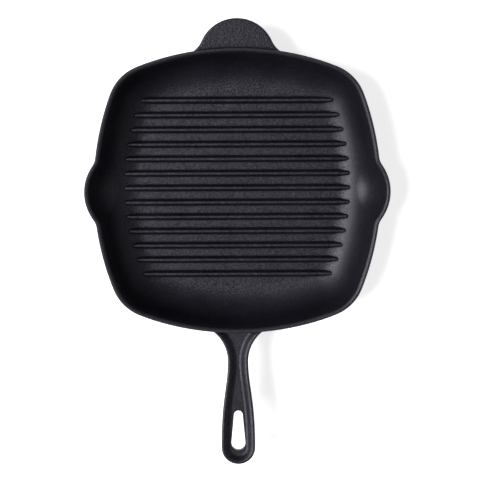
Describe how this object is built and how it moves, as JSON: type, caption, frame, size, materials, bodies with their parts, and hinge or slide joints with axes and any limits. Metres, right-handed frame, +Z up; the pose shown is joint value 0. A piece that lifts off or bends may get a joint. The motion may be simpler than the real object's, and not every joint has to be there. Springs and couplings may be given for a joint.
{
  "type": "grill pan",
  "caption": "Square cast iron grill pan with bowed sides, a ribbed floor, a pour spout on each side, a long handle with a hanging hole and a small helper handle.",
  "frame": {"origin": "centre of the flat resting face on the underside of the pan", "axes": "+Z up out of the pan, -Y along the long handle, +Y towards the helper handle, +X and -X towards the pour spouts"},
  "size_m": [0.2932, 0.4338, 0.0498],
  "materials": {
    "pan_iron": "matte black baked coat with a fine sand-cast grain",
    "rib_iron": "matte black baked coat, a little smoother on the rib tops",
    "handle_iron": "matte black baked coat with a fine sand-cast grain"
  },
  "bodies": {
    "root": {"pan_body": "pan_iron", "grill_rib_01": "rib_iron", "grill_rib_02": "rib_iron", "grill_rib_03": "rib_iron", "grill_rib_04": "rib_iron", "grill_rib_05": "rib_iron", "grill_rib_06": "rib_iron", "grill_rib_07": "rib_iron", "grill_rib_08": "rib_iron", "grill_rib_09": "rib_iron", "grill_rib_10": "rib_iron", "grill_rib_11": "rib_iron", "grill_rib_12": "rib_iron", "grill_rib_13": "rib_iron", "long_handle": "handle_iron", "helper_handle": "handle_iron"}
  },
  "joints": []
}
